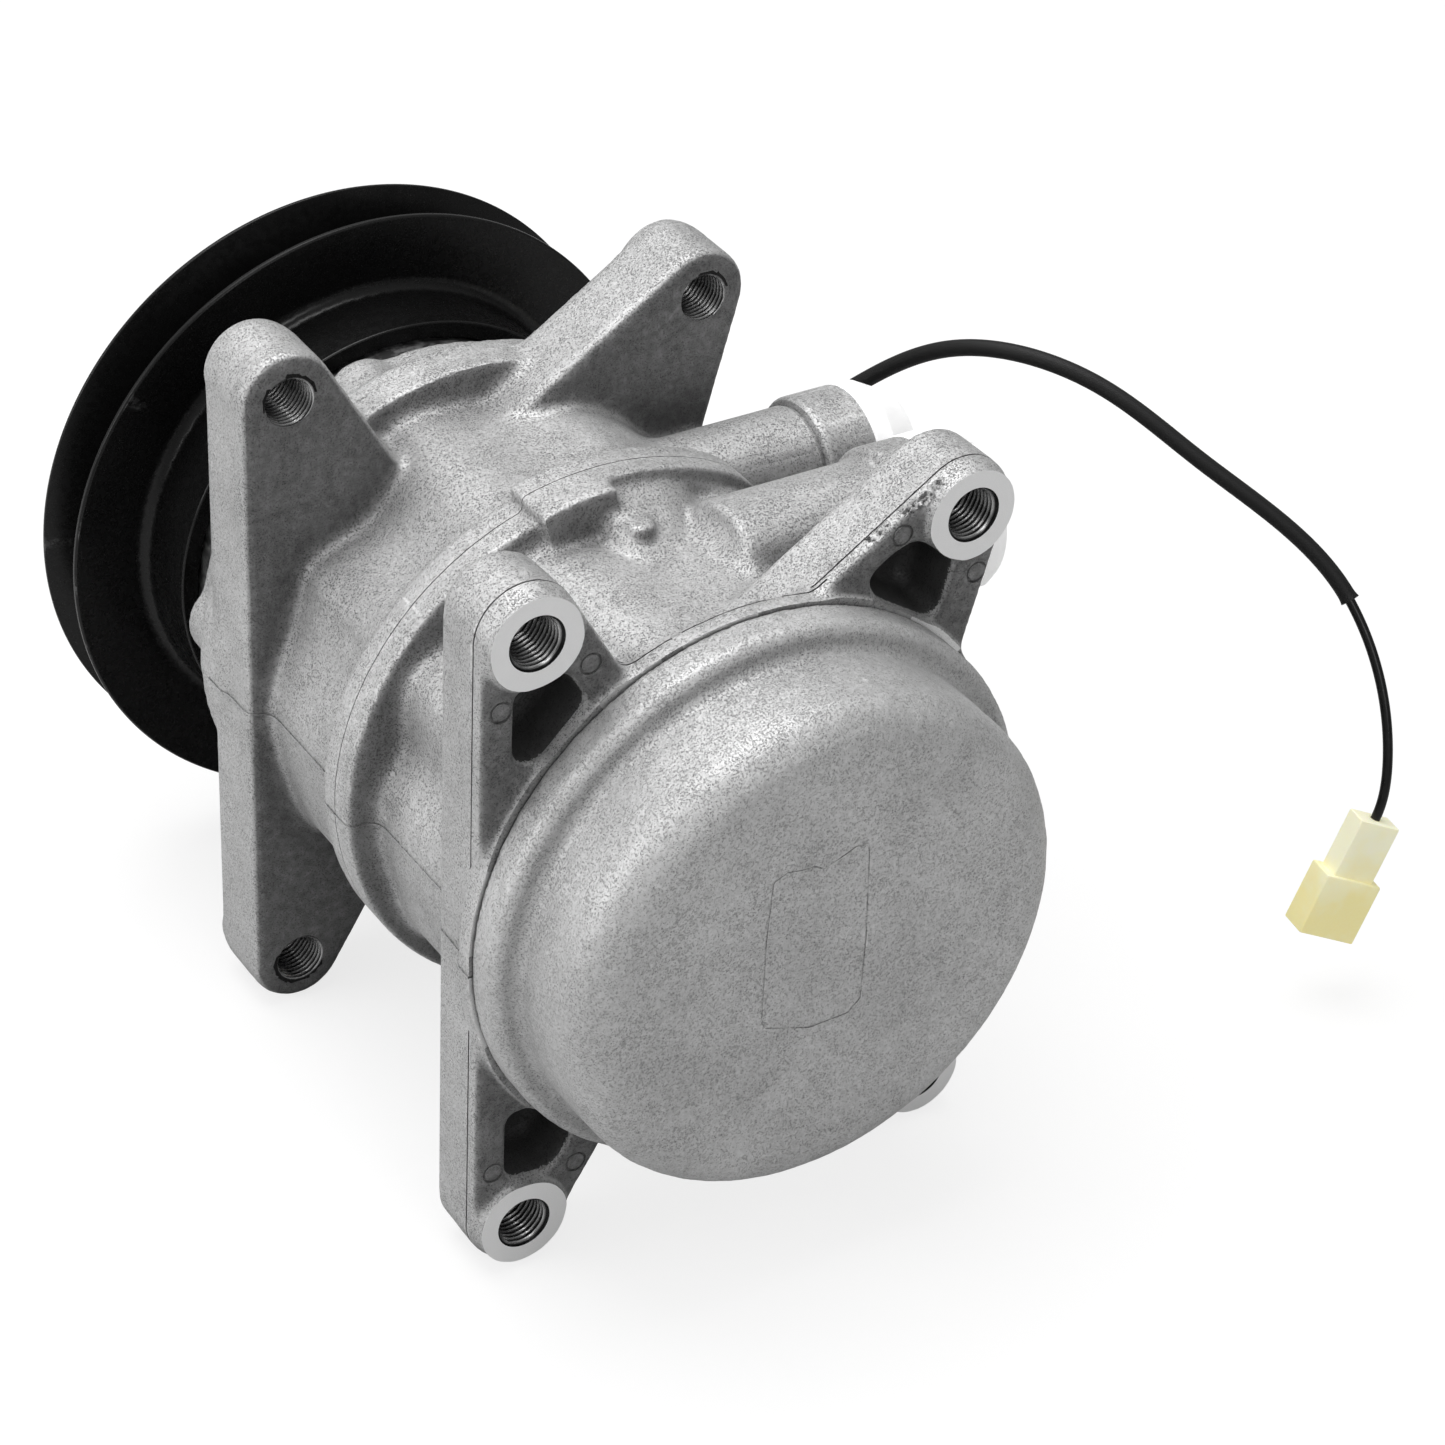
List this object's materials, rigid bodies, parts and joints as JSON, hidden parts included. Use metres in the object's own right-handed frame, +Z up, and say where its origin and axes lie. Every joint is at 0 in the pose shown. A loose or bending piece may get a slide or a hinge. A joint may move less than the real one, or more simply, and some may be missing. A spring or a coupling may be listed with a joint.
{
  "type": "automotive air conditioning compressor",
  "caption": "Swash plate refrigerant compressor with a belt pulley clutch, tapped mounting ears at both ends, two capped ports and a wired coil lead.",
  "frame": {"origin": "centre of the four rear mounting bosses, on the shaft axis, in the plane of their machined faces", "axes": "+Y along the shaft towards the pulley, +X towards the refrigerant ports, +Z up"},
  "size_m": [0.2483, 0.228, 0.166],
  "materials": {
    "cast_aluminium": "as cast, fine grain",
    "piston_aluminium": "turned",
    "ground_steel": "ground",
    "plated_steel": "zinc plated",
    "black_paint": "satin black",
    "coil_steel": "satin black",
    "copper_winding": "enamelled copper in resin",
    "gasket_fibre": "matt",
    "black_rubber": "matt",
    "black_insulation": "satin",
    "black_braid": "woven",
    "natural_nylon": "translucent",
    "white_plastic": "satin"
  },
  "bodies": {
    "housing": {"rear_cover": "cast_aluminium", "rear_cylinder_block": "cast_aluminium", "front_cylinder_block": "cast_aluminium", "front_head": "cast_aluminium", "rear_valve_plate": "ground_steel", "front_valve_plate": "ground_steel", "rear_suction_reed": "ground_steel", "front_suction_reed": "ground_steel", "rear_discharge_reed": "ground_steel", "front_discharge_reed": "ground_steel", "rear_reed_retainer": "ground_steel", "front_reed_retainer": "ground_steel", "rear_head_gasket": "gasket_fibre", "front_head_gasket": "gasket_fibre", "block_seal_ring": "black_rubber", "through_bolts": "plated_steel", "rear_needle_bearing": "ground_steel", "front_needle_bearing": "ground_steel", "rear_thrust_bearing": "ground_steel", "front_thrust_bearing": "ground_steel", "shaft_seal": "black_rubber", "seal_snap_ring": "plated_steel", "bearing_snap_ring": "plated_steel", "coil_snap_ring": "plated_steel", "coil_housing": "coil_steel", "coil_winding": "copper_winding", "bearing_inner_ring": "ground_steel", "lead_wire": "black_insulation", "braided_sleeve": "black_braid", "connector_housing": "natural_nylon", "connector_terminal": "plated_steel"},
    "pulley": {"pulley": "black_paint", "bearing_outer_ring": "ground_steel", "bearing_balls": "ground_steel"},
    "shaft": {"drive_shaft": "ground_steel", "swash_plate": "ground_steel", "leaf_springs": "plated_steel", "clutch_hub": "plated_steel", "hub_rivets": "plated_steel", "hub_nut": "plated_steel", "clutch_shim": "ground_steel"},
    "armature": {"armature_plate": "plated_steel", "armature_rivets": "plated_steel"},
    "piston_1": {"piston_1": "piston_aluminium", "shoes_1": "ground_steel"},
    "piston_2": {"piston_2": "piston_aluminium", "shoes_2": "ground_steel"},
    "piston_3": {"piston_3": "piston_aluminium", "shoes_3": "ground_steel"},
    "piston_4": {"piston_4": "piston_aluminium", "shoes_4": "ground_steel"},
    "piston_5": {"piston_5": "piston_aluminium", "shoes_5": "ground_steel"},
    "suction_cap": {"suction_cap": "white_plastic"},
    "discharge_cap": {"discharge_cap": "white_plastic"}
  },
  "joints": [
    {"name": "pulley_spin", "type": "hinge", "parent": "housing", "child": "pulley", "pos_m": [0, 0, 0], "axis": [0, 1, 0], "continuous": true},
    {"name": "shaft_spin", "type": "hinge", "parent": "housing", "child": "shaft", "pos_m": [0, 0, 0], "axis": [0, 1, 0], "continuous": true},
    {"name": "armature_pull_in", "type": "slide", "parent": "shaft", "child": "armature", "axis": [0, -1, 0], "range_m": [0, 0.00049], "stiffness_N_per_m": 40000},
    {"name": "piston_1_stroke", "type": "slide", "parent": "housing", "child": "piston_1", "axis": [0, 1, 0], "range_m": [-0.007, 0.007]},
    {"name": "piston_2_stroke", "type": "slide", "parent": "housing", "child": "piston_2", "axis": [0, 1, 0], "range_m": [-0.01366, 0.00034]},
    {"name": "piston_3_stroke", "type": "slide", "parent": "housing", "child": "piston_3", "axis": [0, 1, 0], "range_m": [-0.01111, 0.00289]},
    {"name": "piston_4_stroke", "type": "slide", "parent": "housing", "child": "piston_4", "axis": [0, 1, 0], "range_m": [-0.00289, 0.01111]},
    {"name": "piston_5_stroke", "type": "slide", "parent": "housing", "child": "piston_5", "axis": [0, 1, 0], "range_m": [-0.00034, 0.01366]},
    {"name": "suction_cap_pull", "type": "slide", "parent": "housing", "child": "suction_cap", "axis": [1, 0, 0], "range_m": [0, 0.02]},
    {"name": "discharge_cap_pull", "type": "slide", "parent": "housing", "child": "discharge_cap", "axis": [1, 0, 0], "range_m": [0, 0.02]}
  ]
}
